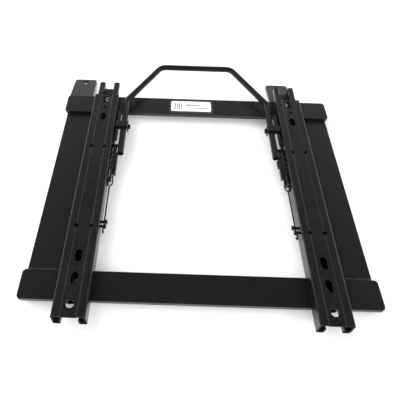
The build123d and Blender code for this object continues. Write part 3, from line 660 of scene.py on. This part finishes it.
def filmMaterial():
    material, tree, shader = newMaterial("labelFilm")
    tone, rough, height = grainedTone(tree, filmLook)
    normal = bumped(tree, filmLook["bump"], filmLook["relief"], height)
    feed(tree, shader, {"Base Color": tone, "Roughness": rough, "Normal": normal})
    return material


def within(tree, value, middle, width):  # 1 where the value lies in a band
    offset = addMath(tree, "ABSOLUTE", addMath(tree, "SUBTRACT", value, middle))
    return addMath(tree, "LESS_THAN", offset, 0.5 * width)


def fieldMaterial(low, high):  # pale print with plain marks, and no words
    material, tree, shader = newMaterial("labelField")
    place = splitVector(tree, objectPlace(tree))
    tone, rough, height = grainedTone(tree, fieldLook)
    width, depth = high.x - low.x, high.y - low.y
    ink = 0.0
    for centre, thick, start, end in labelMarks:
        row = within(tree, place["Y"], low.y + centre * depth, thick * depth)
        column = within(tree, place["X"], low.x + 0.5 * (start + end) * width, (end - start) * width)
        ink = addMath(tree, "MAXIMUM", ink, addMath(tree, "MULTIPLY", row, column))
    printed = mixColour(tree, addMath(tree, "MULTIPLY", ink, fieldLook["inkShare"]), tone, fieldLook["ink"])
    feed(tree, shader, {"Base Color": printed, "Roughness": rough})
    return material


labelLow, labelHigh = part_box("label")
fieldLow = Vector((labelLow.x + label["fieldLeft"] * mm, labelLow.y + label["fieldNear"] * mm, 0))
fieldHigh = Vector((labelHigh.x - label["fieldRight"] * mm, labelHigh.y - label["fieldFar"] * mm, 0))
filmTop = labelLow.z + label["film"] * mm
fieldTop = labelLow.z + label["field"] * mm
film = meshPiece("labelFilm",
                 lambda work: roundedPlate(work, labelLow, labelHigh, label["filmRadius"] * mm,
                                           labelLow.z, filmTop),
                 filmMaterial(), "floor_frame")
meshPiece("labelField",
          lambda work: roundedPlate(work, fieldLow, fieldHigh, label["fieldRadius"] * mm, filmTop, fieldTop),
          fieldMaterial(fieldLow, fieldHigh), "floor_frame")
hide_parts("label")
print("label made")


# Studio: a white floor, two soft lamps, and a pale surround to reflect, which darkens upwards and
# behind the camera. Lift is the floor's own white for the camera, which grows to 1 with the distance
# from the middle and hides the floor's edge.

studio = {"floor": 6.0, "floorTone": 0.92, "floorRough": 0.9, "floorIor": 1.2, "lift": 0.2, "liftFrom": 0.55,
          "liftTo": 1.4, "horizon": 1.0, "zenith": 0.03, "lowZ": 0.22, "highZ": 0.90, "frontY": -0.75,
          "frontFade": 0.5}
lamps = {
    "keyBox": {"place": (-1.1, 0.45, 1.9), "size": 1.8, "power": 44.0},
    "frontBox": {"place": (0.3, -1.3, 1.7), "size": 2.4, "power": 58.0},
}


def isCameraRay(tree):
    return addNode(tree, "ShaderNodeLightPath").outputs["Is Camera Ray"]


def buildFloor(work):
    reach = 0.5 * studio["floor"]
    corners = [work.verts.new((x * reach, y * reach, 0.0)) for x, y in ((-1, -1), (1, -1), (1, 1), (-1, 1))]
    work.faces.new(corners)


def floorMaterial():
    material, tree, shader = newMaterial("studioFloor")
    tone = studio["floorTone"]
    feed(tree, shader, {"Base Color": (tone, tone, tone, 1.0), "Roughness": studio["floorRough"],
                        "IOR": studio["floorIor"]})
    away = addNode(tree, "ShaderNodeVectorMath", {0: objectPlace(tree)}, operation="LENGTH").outputs["Value"]
    fade = mapRange(tree, away, studio["liftFrom"], studio["liftTo"], studio["lift"], 1.0)
    seen = addMath(tree, "MULTIPLY", isCameraRay(tree), fade)
    white = addNode(tree, "ShaderNodeEmission", {"Color": (1.0, 1.0, 1.0, 1.0), "Strength": 1.0}).outputs[0]
    lifted = addNode(tree, "ShaderNodeMixShader", {0: seen, 1: shader.outputs[0], 2: white}).outputs[0]
    feed(tree, tree.nodes["Material Output"], {"Surface": lifted})
    return material


floor = meshPiece("studioFloor", buildFloor, floorMaterial(), None)
if floor.data.polygons[0].normal.z < 0:
    floor.data.flip_normals()

for name, look in lamps.items():  # diffuse light only: what the coat reflects is the surround
    light = bpy.data.lights.new(name, "AREA")
    light.shape = "SQUARE"
    light.size = look["size"]
    light.energy = look["power"]
    lamp = bpy.data.objects.new(name, light)
    bpy.context.scene.collection.objects.link(lamp)
    place = Vector(look["place"])
    lamp.matrix_world = Matrix.Translation(place) @ place.to_track_quat("Z", "Y").to_matrix().to_4x4()
    lamp.visible_glossy = False

world = bpy.data.worlds.new("studio")
bpy.context.scene.world = world
world.use_nodes = True
tree = world.node_tree
tree.nodes.clear()
direction = splitVector(tree, addNode(tree, "ShaderNodeTexCoord").outputs["Generated"])
rise = mapRange(tree, direction["Z"], studio["lowZ"], studio["highZ"], studio["horizon"], studio["zenith"])
front = mapRange(tree, direction["Y"], studio["frontY"], 0.0, studio["frontFade"], 1.0)
sky = addMath(tree, "MULTIPLY", rise, front)
white = (1.0, 1.0, 1.0, 1.0)
plain = addNode(tree, "ShaderNodeBackground", {"Strength": 1.0, "Color": white}).outputs[0]
surround = addNode(tree, "ShaderNodeBackground", {"Strength": sky, "Color": white}).outputs[0]
chosen = addNode(tree, "ShaderNodeMixShader", {0: isCameraRay(tree), 1: surround, 2: plain}).outputs[0]
addNode(tree, "ShaderNodeOutputWorld", {"Surface": chosen})
bpy.context.scene.view_settings.view_transform = "Standard"
print("studio made")


# Camera, solved from the straight edges of the photograph, in mm and degrees

view = {"x": -44.0, "y": -429.0, "z": 536.8, "pitch": 50.0, "yaw": 0.361, "roll": -1.576,
        "focal": 39.06, "sensor": 36.0, "shiftX": 0.0814, "shiftY": -0.0787, "nearest": 0.01}


def cameraTurn():
    pitch, roll = radians(view["pitch"]), radians(view["roll"])
    yaw = Matrix.Rotation(radians(view["yaw"]), 3, "Z")
    ahead = yaw @ Vector((0, cos(pitch), -sin(pitch)))
    right = yaw @ Vector((1, 0, 0))
    down = ahead.cross(right)
    right, down = right * cos(roll) + down * sin(roll), down * cos(roll) - right * sin(roll)
    return Matrix((right, -down, -ahead)).transposed().to_4x4()


lens = bpy.data.cameras.new("photoCamera")
lens.sensor_width = view["sensor"]
lens.lens = view["focal"]
lens.shift_x = view["shiftX"]
lens.shift_y = view["shiftY"]
lens.clip_start = view["nearest"]
camera = bpy.data.objects.new("photoCamera", lens)
bpy.context.scene.collection.objects.link(camera)
camera.matrix_world = Matrix.Translation(Vector((view["x"], view["y"], view["z"])) * mm) @ cameraTurn()
bpy.context.scene.camera = camera
print("camera placed")
